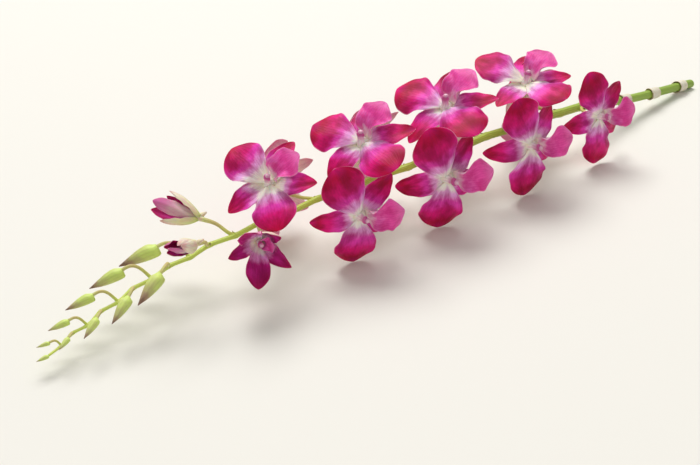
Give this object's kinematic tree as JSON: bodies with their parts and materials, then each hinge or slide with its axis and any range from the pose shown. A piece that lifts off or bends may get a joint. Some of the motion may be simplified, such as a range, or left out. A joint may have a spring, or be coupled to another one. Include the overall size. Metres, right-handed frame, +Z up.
{
  "type": "dendrobium orchid stem",
  "caption": "Cut orchid spray lying on a table: an arching cane with magenta flowers along both sides and its top, opening flowers and green buds towards the tip.",
  "frame": {"origin": "under the middle of the spray, on the surface that it lies on", "axes": "+Z up; X along the spray, with the bud tip at -X and the cut end at +X; Y across it"},
  "size_m": [0.5804, 0.0989, 0.0918],
  "materials": {
    "petals": "satin",
    "lip": "satin",
    "opening_petals": "satin",
    "buds": "satin",
    "sheath": "matte",
    "stem": "satin"
  },
  "bodies": {
    "root": {"bloom_01": "petals", "bloom_02": "petals", "bloom_03": "petals", "bloom_04": "petals", "bloom_05": "petals", "bloom_06": "petals", "bloom_07": "petals", "bloom_08": "petals", "bloom_09": "petals", "bloom_10": "petals", "bloom_11": "petals", "bloom_12": "petals", "lip_01": "lip", "lip_02": "lip", "lip_03": "lip", "lip_04": "lip", "lip_05": "lip", "lip_06": "lip", "lip_07": "lip", "lip_08": "lip", "lip_09": "lip", "lip_10": "lip", "lip_11": "lip", "lip_12": "lip", "opening_bloom_1": "opening_petals", "opening_bloom_2": "opening_petals", "opening_bloom_3": "opening_petals", "bud_01": "buds", "bud_02": "buds", "bud_03": "buds", "bud_04": "buds", "bud_05": "buds", "bud_06": "buds", "bud_07": "buds", "bud_08": "buds", "bud_09": "buds", "tip_bud": "buds", "sheath_1": "sheath", "sheath_2": "sheath", "sheath_3": "sheath", "sheath_4": "sheath", "stem": "stem"}
  },
  "joints": []
}
